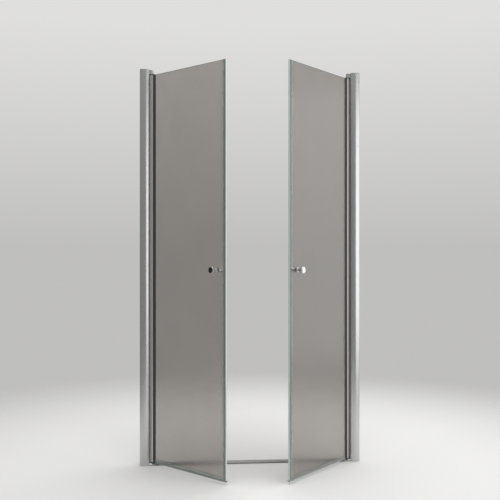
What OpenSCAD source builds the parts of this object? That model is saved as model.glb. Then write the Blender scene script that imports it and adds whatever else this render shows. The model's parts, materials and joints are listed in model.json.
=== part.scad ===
// Double-leaf shower door: two frosted glass leaves, each turning on pivots beside its own
// jamb, that meet in the middle. Both leaves swing outwards and inwards.
// +X points right and +Y inwards, seen from outside, and +Z points up. The origin is the
// middle of the threshold's underside, in the plane of the pivots.

/* [Door] */
// Width of the door over both jambs
door_w = 1010; // [860:5:1300]
// Height of the jambs with their caps
door_h = 1800; // [1500:10:2100]
// Angle by which the left leaf stands open, outwards
left_open = 43.5; // [0:0.5:85]
// Angle by which the right leaf stands open, outwards
right_open = 45.5; // [0:0.5:85]

/* [Jambs] */
// Width of a jamb, from its open side to its inner edge
jamb_w = 42; // [40:0.5:48]
// Depth of a jamb at the crown of its bulge
jamb_crown_d = 42; // [38:0.5:48]
// Depth of a jamb at its two edges
jamb_edge_d = 28; // [26:0.5:32]
// Thickness of the jamb's walls
jamb_t = 2; // [1.6:0.1:2.2]
// Thickness of the jamb's inner web and ribs
web_t = 1.8; // [1.4:0.1:2.2]
// Thickness of the cap on top of a jamb
cap_t = 3; // [2:0.5:5]
// Depth of the plug under the cap
cap_plug = 10; // [6:1:20]
// Distance of the ribs that guide a channel's legs from the legs' ends
rib_inset = 4; // [3:0.5:6]
// Depth of the mouth of the seal's slot
slot_mouth = 1.5; // [1:0.1:2]

/* [Wall channels] */
// Reach of the channel's legs into the jamb
channel_leg = 22; // [20:0.5:23]
// Thickness of the channel
channel_t = 2; // [1.6:0.1:2.4]
// Clearance of the channel between the jamb's walls
channel_gap = 0.3; // [0.2:0.05:0.6]
// Clearance of the channel's legs before the jamb's web, which lets the width be adjusted
channel_travel = 3; // [1:0.5:4]
// Number of screw holes in the back of each channel
wall_hole_n = 4; // [2:1:6]
// Diameter of a screw hole in a channel's back
wall_hole_d = 5.5; // [4:0.1:6.5]
// Distance of the outer holes in a channel's back from its ends
wall_hole_end = 100; // [50:5:200]

/* [Jamb seals] */
// Width of the seal's foot, behind the lip
foot_w = 4; // [3:0.1:5]
// Thickness of the seal's foot
foot_t = 1.5; // [1:0.1:2]
// Width of the seal's neck, in the slot's mouth
neck_w = 1.8; // [1.2:0.1:2.4]
// Width of the rounded lip
lip_w = 3.2; // [2.6:0.1:4]
// Clearance of the seal in its slot
seal_fit = 0.1; // [0.05:0.05:0.2]
// Clearance between the lip and the turning post
lip_gap = 0.3; // [0.2:0.05:0.5]

/* [Pivots] */
// Radius of the post's round back
post_r = 8.5; // [8:0.1:10]
// Gap between the jamb and the post
post_gap = 1; // [0.8:0.1:1.5]
// Diameter of a pivot pin
pin_d = 8; // [6:0.5:8.5]
// Radial clearance of a pin in its bush
pin_clear = 0.05; // [0.02:0.01:0.1]
// Length of a pin inside its bush
pin_reach = 21; // [14:1:30]
// Floor under the bottom pin and over the top pin
pin_floor = 2; // [1:0.5:3]
// Height of the arm of a top block
top_arm_h = 18.5; // [14:0.5:24]
// Height of the arm of a bottom block
bottom_arm_h = 10; // [9.5:0.1:10.4]
// Height of a block's plug inside the jamb
block_plug_h = 32; // [28:1:50]
// Depth of a block's plug, front to back
block_plug_d = 24; // [20:0.5:26]
// Width of the neck of a bottom block, in the jamb's notch
bottom_neck_d = 20; // [16:0.5:22]
// Clearance of a block in the jamb
block_fit = 0.3; // [0.2:0.05:0.5]
// Thickness of a thrust washer
washer_t = 1; // [0.6:0.1:2]
// Diameter of a thrust washer
washer_d = 16; // [12:0.5:17]
// Running gap under the leaf
run_gap = 0.3; // [0.2:0.05:0.6]
// Gap over the leaf, which lets it be hung
hang_gap = 0.8; // [0.5:0.1:2]

/* [Posts] */
// Thickness of the post's round wall
post_t = 2; // [1.6:0.1:2.4]
// Distance of the post's front edge from the pivot
post_front = 19.5; // [17:0.5:26]
// Distance of the floor of the glazing slot from the pivot
slot_floor = 9; // [8.5:0.1:11]
// Thickness of the post's lips beside the slot
post_lip_t = 2; // [1.6:0.1:2.4]
// Thickness of the plate of a bush, over the post's end
bush_plate = 3.7; // [3:0.1:5]
// Length of a bush inside the post
bush_len = 24; // [18:1:32]
// Thickness of the gasket between glass and post
gasket_t = 1.5; // [1:0.1:2]
// Reach of the gasket's lips past the post
gasket_lip = 8.5; // [4:0.5:11]
// Thickness of the gasket's lips on the glass
gasket_lip_t = 2; // [1.5:0.1:2.5]

/* [Glass] */
// Thickness of the glass
glass_t = 6; // [5:0.5:8]
// Height of the glass's lower edge
glass_z = 20; // [19:0.5:30]
// Height of the knobs
knob_z = 895; // [700:5:1100]
// Distance of the knobs from the closing line
knob_inset = 56; // [45:1:120]
// Diameter of the knob hole in the glass
knob_hole_d = 12; // [10:0.5:14]

/* [Leaf seals] */
// Gap between a closed leaf's seal and the closing line
meet_gap = 0.4; // [0.3:0.1:2]
// Reach of the edge seal past the glass
edge_reach = 12; // [10:0.5:16]
// Length of the seals' clips on the glass
clip_len = 12; // [8:0.5:14]
// Thickness of the seals' clips
clip_t = 1.2; // [0.8:0.1:1.6]
// Side of the square magnet in the edge seal
magnet_side = 5.6; // [4:0.1:6]
// Clearance of the magnet in its chamber
magnet_gap = 0.15; // [0.1:0.05:0.3]
// Distance of the magnet from the seal's closing face
magnet_skin = 1.8; // [1:0.1:2.5]
// Gap between the bottom seal and the threshold rail
sweep_gap = 0.6; // [0.4:0.1:3]
// Thickness of the bottom seal's tube and fin
tube_t = 1; // [0.8:0.1:1.5]
// Reach of the bottom seal's fin, inwards
fin_reach = 7; // [4:0.5:10]
// Drop of the bottom seal's fin
fin_drop = 5; // [3:0.5:6]

/* [Threshold] */
// Height of the threshold rail on its tape
rail_h = 11; // [10.6:0.1:11]
// Depth of the rail, front to back
rail_d = 26; // [22:0.5:32]
// Height of the rail's upright sides
rail_side_h = 2; // [1:0.1:3]
// Thickness of the rail's wall
rail_t = 1.6; // [1.2:0.1:2]
// Thickness of the tape under the rail
tape_t = 1; // [0.5:0.1:1.5]
// Distance of the rail's ends from the pivots
rail_end = 20.5; // [18:0.5:40]
// Length of the tongue that joins a block to the rail
tongue_len = 12; // [6:1:30]
// Clearance of the tongue in the rail
tongue_gap = 0.2; // [0.1:0.05:0.4]

/* [Screws] */
// Diameter of a jamb screw
screw_d = 4; // [3.5:0.1:4.2]
// Length of a jamb screw under its head
screw_len = 12; // [11:0.5:13]
// Diameter of a screw head
head_d = 7.5; // [6.5:0.1:8]
// Height of a screw head
head_h = 2.2; // [1.8:0.1:2.6]
// Clearance of a screw in the jamb's wall, on the radius
screw_clear = 0.3; // [0.2:0.05:0.5]
// Depth of the flat seat that is cut in the jamb for a screw
seat_depth = 0.7; // [0.6:0.05:0.9]
// Diameter of a screw cap
screw_cap_d = 10.6; // [10:0.1:12]
// Thickness of a screw cap
screw_cap_t = 1; // [0.8:0.1:1.4]
// Clearance of a screw cap over the head, and in its seat
screw_cap_gap = 0.2; // [0.1:0.05:0.3]
// Number of screws that hold a jamb to its channel
jamb_screw_n = 3; // [2:1:6]
// Distance of the outer jamb screws from the ends of the jamb
jamb_screw_end = 150; // [60:5:300]
// Distance from the channel's back at which a jamb screw enters its leg
jamb_screw_s = 13; // [12:0.5:14]
// Distance of a block's screw from the inner end of its plug
block_screw_inset = 8; // [6:0.5:10]

/* [Knobs] */
// Diameter of a knob
knob_d = 29; // [24:0.5:34]
// Length of a knob, from the washer to its face
knob_len = 32; // [28:0.5:40]
// Length of the knob's tapered head
knob_head = 24; // [20:0.5:25]
// Length of the straight rim at the wide end of the head
knob_rim = 5; // [3:0.5:8]
// Rounding of the rim
knob_rim_r = 1.5; // [0.5:0.1:3]
// Diameter of the head's narrow end
knob_back_d = 19; // [17:0.5:22]
// Diameter of the knob's neck
knob_neck_d = 14; // [12:0.5:16]
// Diameter of the knob's foot
knob_foot_d = 21; // [18:0.5:24]
// Height of the knob's foot
knob_foot_h = 3; // [2:0.5:5]
// Bevel of the edges of the foot and of the head's narrow end
knob_bevel = 0.8; // [0.4:0.1:1.2]
// Rise of the knob's slightly domed face
knob_dome = 0.6; // [0.3:0.1:1.2]
// Diameter of the stud through the glass
stud_d = 6; // [5:0.5:7]
// Depth of the stud in each knob
stud_depth = 12; // [8:1:18]
// Thickness of a washer between knob and glass
knob_washer_t = 1; // [0.5:0.1:2]
// Radial clearance of the washer's sleeve round the stud
sleeve_gap = 0.2; // [0.1:0.05:0.3]
// Gap between the two washers' sleeves in the glass
sleeve_part = 0.4; // [0.2:0.1:1]

/* [Hidden] */
left = -1;
right = 1;
// Sides of a full circle
$fn = 96;
// How far cuts run past the faces that they open
cut = 1;
// Far enough to reach past the section of any profile
far = 4 * jamb_crown_d;

// Jamb: two arcs of one radius, their centres moved across the middle
jamb_rise = (jamb_crown_d - jamb_edge_d) / 2;
jamb_r = (pow(jamb_w / 2, 2) + pow(jamb_rise, 2)) / (2 * jamb_rise);
jamb_shift = jamb_r - jamb_crown_d / 2;
jamb_top = door_h - cap_t;

// Half the depth of the jamb's inside at its open side, which the channel has to pass
mouth_half = sqrt(pow(jamb_r - jamb_t, 2) - pow(jamb_w / 2, 2)) - jamb_shift;
channel_half = mouth_half - channel_gap;
web_s = channel_leg + channel_travel;
rib_s = [rib_inset, channel_leg - rib_inset - web_t];

// Slot for the jamb seal, in a boss at the jamb's inner edge
boss_w = slot_mouth + foot_t + seal_fit + web_t;
boss_half = foot_w / 2 + seal_fit + web_t;

// Pivot line, and the heights that stack up between the blocks
pivot_s = jamb_w + post_gap + post_r;
post_z0 = bottom_arm_h + washer_t + run_gap + bush_plate;
post_z1 = jamb_top - top_arm_h - hang_gap - bush_plate;
bore_r = post_r - post_t;
leaf_reach = door_w / 2 - pivot_s;

// Plugs of the pivot blocks, between the web and the boss
plug_s0 = web_s + web_t + block_fit;
plug_s1 = jamb_w - boss_w - block_fit;
plug_mid = (plug_s0 + plug_s1) / 2;

// Screws stand square on the jamb's back: their angles aim them at what they hold
jamb_screw_angle = atan((jamb_screw_s - jamb_w / 2) / (channel_half + jamb_shift));
block_screw_angle = atan((plug_mid - jamb_w / 2) / (block_plug_d / 2 + jamb_shift));
jamb_screw_z = [for (i = [0 : jamb_screw_n - 1])
    jamb_screw_end + i * (door_h - 2 * jamb_screw_end) / (jamb_screw_n - 1)];
block_screw_end = block_plug_h - block_screw_inset;
block_screw_z = [block_screw_end, jamb_top - block_screw_end];
wall_hole_z = [for (i = [0 : wall_hole_n - 1])
    wall_hole_end + i * (jamb_top - 2 * wall_hole_end) / (wall_hole_n - 1)];

// Glazing: the gasket lines the slot, and the glass stands on the gasket's floor
slot_half = glass_t / 2 + gasket_t;
post_front_half = slot_half + post_lip_t;
glass_u0 = slot_floor + gasket_t;
glass_u1 = leaf_reach - meet_gap - edge_reach;
gasket_end = post_front + gasket_lip;
clip_half = glass_t / 2 + clip_t;
seal_u1 = leaf_reach - meet_gap;
seal_z0 = rail_h + sweep_gap;
web_z = glass_z - clip_t;
// The tube reaches into its web, so that the two are one
tube_r = (web_z + clip_t / 2 - seal_z0) / 2;
knob_u = leaf_reach - knob_inset;

// Threshold: a low dome on upright sides
rail_rise = rail_h - tape_t - rail_side_h;
rail_r = (pow(rail_d / 2, 2) + pow(rail_rise, 2)) / (2 * rail_rise);
rail_centre = rail_h - rail_r;
rail_s0 = pivot_s + rail_end;

// ---- placing ----

// Puts a piece that is drawn from the left end of the door on its side
module on_side(side) {
    if (side == left) translate([-door_w / 2, 0, 0]) children();
    else mirror([1, 0, 0]) translate([-door_w / 2, 0, 0]) children();
}

// Puts a piece that is drawn along +X from the pivot, +Y inwards, on its leaf
module on_leaf(side) {
    on_side(side) translate([pivot_s, 0, 0])
        rotate([0, 0, side == left ? -left_open : -right_open]) children();
}

// Puts a piece on the jamb's back with +Z square out of it, at an angle round the arc
module on_back(angle, z) {
    translate([jamb_w / 2, -jamb_shift, z]) rotate([0, 0, -angle])
        translate([0, jamb_r - seat_depth, 0]) rotate([-90, 0, 0]) children();
}

module at_jamb_screws() {
    for (z = jamb_screw_z) on_back(jamb_screw_angle, z) children();
    for (z = block_screw_z) on_back(block_screw_angle, z) children();
}

// Extrudes a section that is drawn as [front to back, height] along +X, from a to b
module along_x(a, b) {
    translate([a, 0, 0]) rotate([90, 0, 90]) linear_extrude(b - a) children();
}

// Extrudes a plan upwards from a to b
module upright(a, b) {
    translate([0, 0, a]) linear_extrude(b - a) children();
}

// ---- sections ----

// A strip across the jamb, from s0 to s1, wider than the jamb is deep
module strip(s0, s1) {
    translate([s0, -far / 2]) square([s1 - s0, far]);
}

// The jamb's outline, drawn in by inset from its two arcs, between s0 and s1
module jamb_plan(inset, s0, s1) {
    intersection() {
        translate([jamb_w / 2, jamb_shift]) circle(jamb_r - inset);
        translate([jamb_w / 2, -jamb_shift]) circle(jamb_r - inset);
        strip(s0, s1);
    }
}

module rib_plan(s) {
    difference() {
        jamb_plan(jamb_t / 2, s, s + web_t);
        translate([s - cut, -mouth_half]) square([web_t + 2 * cut, 2 * mouth_half]);
    }
}

module boss_plan() {
    difference() {
        translate([jamb_w - boss_w, -boss_half]) square([boss_w, 2 * boss_half]);
        translate([jamb_w - slot_mouth - foot_t - seal_fit, -foot_w / 2 - seal_fit])
            square([foot_t + seal_fit, foot_w + 2 * seal_fit]);
        translate([jamb_w - slot_mouth - cut, -neck_w / 2 - seal_fit])
            square([slot_mouth + 2 * cut, neck_w + 2 * seal_fit]);
    }
}

module jamb_section() {
    difference() {
        jamb_plan(0, 0, jamb_w);
        jamb_plan(jamb_t, -cut, web_s);
        jamb_plan(jamb_t, web_s + web_t, jamb_w - jamb_t);
        translate([jamb_w - boss_w, -boss_half]) square([boss_w + cut, 2 * boss_half]);
    }
    boss_plan();
    for (s = rib_s) rib_plan(s);
}

// The post's full form, from z0 to z1: a round back, with flanks that touch it and run forward
module post_form(z0, z1) {
    reach = norm([post_front, post_front_half]);
    touch = atan(post_front_half / post_front) + acos(post_r / reach);
    translate([0, 0, z0]) cylinder(r = post_r, h = z1 - z0);
    upright(z0, z1) polygon([
        [post_r * cos(touch), post_r * sin(touch)], [post_front, post_front_half],
        [post_front, -post_front_half], [post_r * cos(touch), -post_r * sin(touch)]
    ]);
}

module rail_plan(inset, z0) {
    half = rail_d / 2 - inset;
    intersection() {
        translate([0, rail_centre]) circle(rail_r - inset);
        translate([-half, z0]) square([2 * half, rail_h]);
    }
}

// ---- fixed pieces ----

module wall_channel(side) {
    color("silver") on_side(side) difference() {
        upright(0, jamb_top) difference() {
            translate([0, -channel_half]) square([channel_leg, 2 * channel_half]);
            translate([channel_t, channel_t - channel_half])
                square([channel_leg, 2 * (channel_half - channel_t)]);
        }
        for (z = wall_hole_z) translate([-cut, 0, z]) rotate([0, 90, 0])
            cylinder(d = wall_hole_d, h = channel_t + 2 * cut);
        for (z = jamb_screw_z) on_back(jamb_screw_angle, z) translate([0, 0, -screw_len])
            cylinder(d = screw_d, h = screw_len);
    }
}

module jamb(side) {
    color("lightgray") on_side(side) difference() {
        upright(0, jamb_top) jamb_section();
        // Notches for the arms of the two pivot blocks
        translate([plug_s1, -bottom_neck_d / 2 - block_fit, -cut])
            cube([far, bottom_neck_d + 2 * block_fit, bottom_arm_h + block_fit + cut]);
        translate([plug_s1, -post_r - block_fit, jamb_top - top_arm_h - block_fit])
            cube([far, 2 * (post_r + block_fit), far]);
        at_jamb_screws() {
            cylinder(d = screw_cap_d + 2 * screw_cap_gap, h = jamb_crown_d);
            translate([0, 0, -jamb_t - cut])
                cylinder(d = screw_d + 2 * screw_clear, h = jamb_t + 2 * cut);
        }
    }
}

module jamb_cap(side) {
    plug_half = channel_half - channel_t - channel_gap;
    color("silver") on_side(side) {
        upright(jamb_top, door_h) jamb_plan(0, 0, jamb_w);
        translate([channel_t + channel_gap, -plug_half, jamb_top - cap_plug])
            cube([channel_leg - channel_t - channel_gap, 2 * plug_half, cap_plug]);
    }
}

module jamb_seal(side) {
    lip_s = pivot_s - post_r - lip_gap;
    color("dimgray") on_side(side)
        upright(bottom_arm_h + 2 * block_fit, jamb_top - top_arm_h - 2 * block_fit) {
            translate([jamb_w - slot_mouth - foot_t, -foot_w / 2]) square([foot_t, foot_w]);
            translate([jamb_w - slot_mouth, -neck_w / 2]) square([slot_mouth, neck_w]);
            intersection() {
                translate([lip_s - lip_w / 2, 0]) circle(d = lip_w);
                strip(jamb_w, lip_s + cut);
            }
        }
}

// The plug of a pivot block, which fills the jamb between its web and its boss
module block_plug(z) {
    translate([plug_s0, -block_plug_d / 2, z])
        cube([plug_s1 - plug_s0, block_plug_d, block_plug_h]);
}

module top_pivot_block(side) {
    color("silver") on_side(side) difference() {
        union() {
            block_plug(jamb_top - block_plug_h);
            upright(jamb_top - top_arm_h, jamb_top) {
                translate([plug_s0, -post_r]) square([pivot_s - plug_s0, 2 * post_r]);
                translate([pivot_s, 0]) circle(post_r);
            }
        }
        translate([pivot_s, 0, 0]) cylinder(d = pin_d, h = jamb_top - pin_floor);
        block_screw_holes();
    }
}

module bottom_pivot_block(side) {
    color("darkgray") on_side(side) difference() {
        union() {
            block_plug(0);
            translate([plug_s0, -bottom_neck_d / 2, 0])
                cube([jamb_w - plug_s0, bottom_neck_d, bottom_arm_h]);
            along_x(jamb_w, rail_s0) intersection() {
                rail_plan(0, 0);
                translate([-far / 2, 0]) square([far, bottom_arm_h]);
            }
            along_x(rail_s0, rail_s0 + tongue_len) intersection() {
                rail_plan(rail_t + tongue_gap, tape_t);
                translate([-far / 2, 0]) square([far, bottom_arm_h - rail_t]);
            }
        }
        translate([pivot_s, 0, pin_floor]) cylinder(d = pin_d, h = bottom_arm_h);
        block_screw_holes();
    }
}

module block_screw_holes() {
    for (z = block_screw_z) on_back(block_screw_angle, z) translate([0, 0, -screw_len])
        cylinder(d = screw_d, h = screw_len);
}

module pivot_pins(side) {
    color("gainsboro") on_side(side) translate([pivot_s, 0, 0]) {
        translate([0, 0, pin_floor]) cylinder(d = pin_d, h = post_z0 + pin_reach - pin_floor);
        translate([0, 0, post_z1 - pin_reach])
            cylinder(d = pin_d, h = jamb_top - pin_floor - post_z1 + pin_reach);
    }
}

module thrust_washer(side) {
    color("white") on_side(side) translate([pivot_s, 0, bottom_arm_h]) difference() {
        cylinder(d = washer_d, h = washer_t);
        translate([0, 0, -cut]) cylinder(d = pin_d, h = washer_t + 2 * cut);
    }
}

module jamb_screws(side) {
    color("gainsboro") on_side(side) at_jamb_screws() {
        translate([0, 0, -screw_len]) cylinder(d = screw_d, h = screw_len);
        cylinder(d = head_d, h = head_h);
    }
}

module screw_caps(side) {
    pocket_h = head_h + screw_cap_gap;
    color("silver") on_side(side) at_jamb_screws() difference() {
        union() {
            cylinder(d = screw_cap_d, h = pocket_h);
            translate([0, 0, pocket_h])
                cylinder(d1 = screw_cap_d, d2 = screw_cap_d - 2 * screw_cap_t, h = screw_cap_t);
        }
        translate([0, 0, -cut]) cylinder(d = head_d + 2 * screw_cap_gap, h = pocket_h + cut);
    }
}

module threshold_rail() {
    length = door_w - 2 * rail_s0;
    color("gray") along_x(-length / 2, length / 2) difference() {
        rail_plan(0, tape_t);
        rail_plan(rail_t, tape_t - cut);
    }
}

module threshold_tape() {
    length = door_w - 2 * rail_s0;
    color("dimgray") translate([-length / 2, -rail_d / 2, 0]) cube([length, rail_d, tape_t]);
}

// ---- leaves ----

module post(side) {
    color("lightgray") on_leaf(side) difference() {
        post_form(post_z0, post_z1);
        cylinder(r = bore_r, h = door_h);
        translate([slot_floor, -slot_half, 0]) cube([post_front, 2 * slot_half, door_h]);
    }
}

module glazing_gasket(side) {
    color("darkslategray") on_leaf(side) upright(post_z0, post_z1) difference() {
        union() {
            translate([slot_floor, -slot_half])
                square([post_front - slot_floor, 2 * slot_half]);
            polygon([
                [post_front, -glass_t / 2 - gasket_lip_t], [gasket_end, -glass_t / 2],
                [gasket_end, glass_t / 2], [post_front, glass_t / 2 + gasket_lip_t]
            ]);
        }
        translate([glass_u0, -glass_t / 2]) square([gasket_end, glass_t]);
    }
}

module glass(side) {
    color("lightcyan", 0.6) on_leaf(side) difference() {
        translate([glass_u0, -glass_t / 2, glass_z])
            cube([glass_u1 - glass_u0, glass_t, post_z1 - glass_z]);
        at_knob() translate([0, 0, -glass_t - cut])
            cylinder(d = knob_hole_d, h = glass_t + 2 * cut);
    }
}

// A bush stands in the end of the post: its plate covers the post, its sleeve turns on the pin
module bush(plate_z, sleeve_z) {
    difference() {
        union() {
            post_form(plate_z, plate_z + bush_plate);
            translate([0, 0, sleeve_z]) cylinder(r = bore_r, h = bush_len);
        }
        cylinder(r = pin_d / 2 + pin_clear, h = door_h);
    }
}

module top_bush(side) {
    color("dimgray") on_leaf(side) bush(post_z1, post_z1 - bush_len);
}

module bottom_bush(side) {
    color("dimgray") on_leaf(side) bush(post_z0 - bush_plate, post_z0);
}

module edge_seal(side) {
    chamber = magnet_side + 2 * magnet_gap;
    color("lightblue", 0.7) on_leaf(side) upright(glass_z, post_z1) difference() {
        translate([glass_u1 - clip_len, -clip_half])
            square([seal_u1 - glass_u1 + clip_len, 2 * clip_half]);
        translate([glass_u1 - clip_len - cut, -glass_t / 2])
            square([clip_len + cut, glass_t]);
        translate([seal_u1 - magnet_skin - chamber, -chamber / 2]) square(chamber);
    }
}

module edge_magnet(side) {
    color("dimgray") on_leaf(side) upright(glass_z, post_z1)
        translate([seal_u1 - magnet_skin - magnet_gap - magnet_side, -magnet_side / 2])
            square(magnet_side);
}

module bottom_seal(side) {
    clip_h = clip_len - clip_t;
    color("lightgray", 0.7) on_leaf(side) {
        // Clips on the glass stop where the edge seal begins
        along_x(gasket_end, glass_u1 - clip_len) difference() {
            translate([-clip_half, glass_z]) square([2 * clip_half, clip_h]);
            translate([-glass_t / 2, glass_z - cut]) square([glass_t, clip_h + 2 * cut]);
        }
        along_x(gasket_end, seal_u1) {
            translate([-clip_half, web_z]) square([2 * clip_half, clip_t]);
            difference() {
                translate([0, seal_z0 + tube_r]) circle(tube_r);
                translate([0, seal_z0 + tube_r]) circle(tube_r - tube_t);
            }
            polygon([
                [clip_half, glass_z], [clip_half, web_z],
                [clip_half + fin_reach, web_z - fin_drop],
                [clip_half + fin_reach, web_z - fin_drop + tube_t]
            ]);
        }
    }
}

// Puts a piece on the leaf's outer face at the knob, with +Z out of the glass
module at_knob() {
    translate([knob_u, -glass_t / 2, knob_z]) rotate([90, 0, 0]) children();
}

// The same on the leaf's inner face
module at_inner_knob() {
    translate([knob_u, glass_t / 2, knob_z]) rotate([-90, 0, 0]) children();
}

module knob() {
    r = knob_d / 2;
    neck_r = knob_neck_d / 2;
    foot_r = knob_foot_d / 2;
    back_r = knob_back_d / 2;
    head_z = knob_len - knob_head;
    rim_z = knob_len - knob_rim;
    translate([0, 0, knob_washer_t]) rotate_extrude() polygon(concat(
        [[stud_d / 2, 0], [foot_r, 0], [foot_r, knob_foot_h - knob_bevel]],
        [[foot_r - knob_bevel, knob_foot_h], [neck_r, knob_foot_h], [neck_r, head_z]],
        [[back_r - knob_bevel, head_z], [back_r, head_z + knob_bevel], [r, rim_z]],
        [for (a = [0 : 15 : 90])
            [r - knob_rim_r * (1 - cos(a)),
                knob_len - knob_dome - knob_rim_r * (1 - sin(a))]],
        [[0, knob_len], [0, stud_depth], [stud_d / 2, stud_depth]]
    ));
}

module outer_knob(side) {
    color("gainsboro") on_leaf(side) at_knob() knob();
}

module inner_knob(side) {
    color("gainsboro") on_leaf(side) at_inner_knob() knob();
}

module knob_stud(side) {
    reach = knob_washer_t + stud_depth;
    color("silver") on_leaf(side) at_knob() translate([0, 0, -glass_t - reach])
        cylinder(d = stud_d, h = glass_t + 2 * reach);
}

module knob_washer() {
    sleeve = (glass_t - sleeve_part) / 2;
    difference() {
        union() {
            cylinder(d = knob_foot_d, h = knob_washer_t);
            translate([0, 0, -sleeve]) cylinder(d = knob_hole_d, h = sleeve);
        }
        translate([0, 0, -glass_t]) cylinder(r = stud_d / 2 + sleeve_gap, h = 2 * glass_t);
    }
}

module knob_washers(side) {
    color("whitesmoke") on_leaf(side) {
        at_knob() knob_washer();
        at_inner_knob() knob_washer();
    }
}

wall_channel(left);  // left_wall_channel
wall_channel(right);  // right_wall_channel
jamb(left);  // left_jamb
jamb(right);  // right_jamb
jamb_cap(left);  // left_jamb_cap
jamb_cap(right);  // right_jamb_cap
jamb_seal(left);  // left_jamb_seal
jamb_seal(right);  // right_jamb_seal
top_pivot_block(left);  // left_top_pivot_block
top_pivot_block(right);  // right_top_pivot_block
bottom_pivot_block(left);  // left_bottom_pivot_block
bottom_pivot_block(right);  // right_bottom_pivot_block
pivot_pins(left);  // left_pivot_pins
pivot_pins(right);  // right_pivot_pins
thrust_washer(left);  // left_thrust_washer
thrust_washer(right);  // right_thrust_washer
jamb_screws(left);  // left_jamb_screws
jamb_screws(right);  // right_jamb_screws
screw_caps(left);  // left_screw_caps
screw_caps(right);  // right_screw_caps
threshold_rail();
threshold_tape();
post(left);  // left_post
post(right);  // right_post
glazing_gasket(left);  // left_glazing_gasket
glazing_gasket(right);  // right_glazing_gasket
glass(left);  // left_glass
glass(right);  // right_glass
top_bush(left);  // left_top_bush
top_bush(right);  // right_top_bush
bottom_bush(left);  // left_bottom_bush
bottom_bush(right);  // right_bottom_bush
edge_seal(left);  // left_edge_seal
edge_seal(right);  // right_edge_seal
edge_magnet(left);  // left_edge_magnet
edge_magnet(right);  // right_edge_magnet
bottom_seal(left);  // left_bottom_seal
bottom_seal(right);  // right_bottom_seal
outer_knob(left);  // left_outer_knob
outer_knob(right);  // right_outer_knob
inner_knob(left);  // left_inner_knob
inner_knob(right);  // right_inner_knob
knob_stud(left);  // left_knob_stud
knob_stud(right);  // right_knob_stud
knob_washers(left);  // left_knob_washers
knob_washers(right);  // right_knob_washers
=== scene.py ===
"""The looks of a double-leaf shower door: frosted leaves on pivots between bright jambs."""

import json
import math
from contextlib import contextmanager

import bmesh
import bpy
from mathutils import Matrix, Vector


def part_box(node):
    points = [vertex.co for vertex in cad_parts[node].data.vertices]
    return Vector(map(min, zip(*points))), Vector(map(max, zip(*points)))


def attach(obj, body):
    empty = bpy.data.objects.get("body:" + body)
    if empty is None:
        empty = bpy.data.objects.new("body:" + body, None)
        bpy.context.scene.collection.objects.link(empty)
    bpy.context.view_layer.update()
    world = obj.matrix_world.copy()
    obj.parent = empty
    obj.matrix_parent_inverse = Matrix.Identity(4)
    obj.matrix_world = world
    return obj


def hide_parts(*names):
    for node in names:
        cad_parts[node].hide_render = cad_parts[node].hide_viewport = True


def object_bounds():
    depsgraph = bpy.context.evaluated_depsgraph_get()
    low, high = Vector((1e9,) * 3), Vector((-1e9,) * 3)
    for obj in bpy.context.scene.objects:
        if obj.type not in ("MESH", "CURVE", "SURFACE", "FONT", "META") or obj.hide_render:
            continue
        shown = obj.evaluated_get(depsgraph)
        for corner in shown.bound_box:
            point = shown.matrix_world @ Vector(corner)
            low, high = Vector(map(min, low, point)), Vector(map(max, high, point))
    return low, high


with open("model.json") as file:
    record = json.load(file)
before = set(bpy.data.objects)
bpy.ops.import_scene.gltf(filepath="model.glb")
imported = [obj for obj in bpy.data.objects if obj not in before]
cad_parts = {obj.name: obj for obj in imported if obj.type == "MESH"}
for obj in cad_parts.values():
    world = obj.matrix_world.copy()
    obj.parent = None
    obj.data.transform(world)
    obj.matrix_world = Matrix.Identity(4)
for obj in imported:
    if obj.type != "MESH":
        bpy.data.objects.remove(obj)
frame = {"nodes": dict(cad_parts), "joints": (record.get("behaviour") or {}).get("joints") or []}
cad_low, cad_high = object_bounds()

# ---- sizes, in metres ----
# S runs along the closed door from its left end, and U along a leaf from its pivot.
# An ease is the width to which a piece's edges are rounded.


def arc_radius(half_chord, rise):
    """Radius of an arc that rises this much over its chord."""
    return (half_chord ** 2 + rise ** 2) / (2 * rise)


def micron(size):
    """A size to the micrometre: the numbers in the frame carry a far smaller error."""
    return round(size, 6)


MM = 0.001
# Points closer than a weld are one, tools run past a face by an overlap, and fixed pieces
# stand a fit apart
WELD = 0.002 * MM
OVERLAP = 1 * MM
FIT = 0.3 * MM
# A face looks along a direction when its normal's share of that direction is above this
FACING = 0.99

SIDES = ("left", "right")
HALF_WIDTH = cad_high.x
DOOR_TOP = cad_high.z
PIVOT = {side: Vector(joint["pos_m"]) for side, joint in zip(SIDES, frame["joints"])}
PIVOT_S = HALF_WIDTH - PIVOT["right"].x
LEAF_REACH = micron(PIVOT["right"].x)

# Jamb: two arcs of one radius, their centres moved across the middle
JAMB_LOW, JAMB_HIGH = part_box("left_jamb")
JAMB_W = JAMB_HIGH.x - JAMB_LOW.x
JAMB_TOP = JAMB_HIGH.z
JAMB_CROWN_HALF = 21 * MM
JAMB_EDGE_HALF = 14 * MM
JAMB_R = micron(arc_radius(JAMB_W / 2, JAMB_CROWN_HALF - JAMB_EDGE_HALF))
JAMB_SHIFT = micron(JAMB_R - JAMB_CROWN_HALF)
JAMB_T = 2 * MM
JAMB_EASE = 0.25 * MM
WEB_T = 1.8 * MM

# Inside of the jamb: ribs guide the channel's legs, which stop short of the web
CHANNEL_T = 2 * MM
CHANNEL_LEG = 22 * MM
CHANNEL_TRAVEL = 3 * MM
RIB_INSET = 4 * MM
WEB_S = CHANNEL_LEG + CHANNEL_TRAVEL
RIB_S = (RIB_INSET, CHANNEL_LEG - RIB_INSET - WEB_T)
MOUTH_HALF = math.sqrt((JAMB_R - JAMB_T) ** 2 - (JAMB_W / 2) ** 2) - JAMB_SHIFT
CHANNEL_HALF = MOUTH_HALF - FIT

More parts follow.
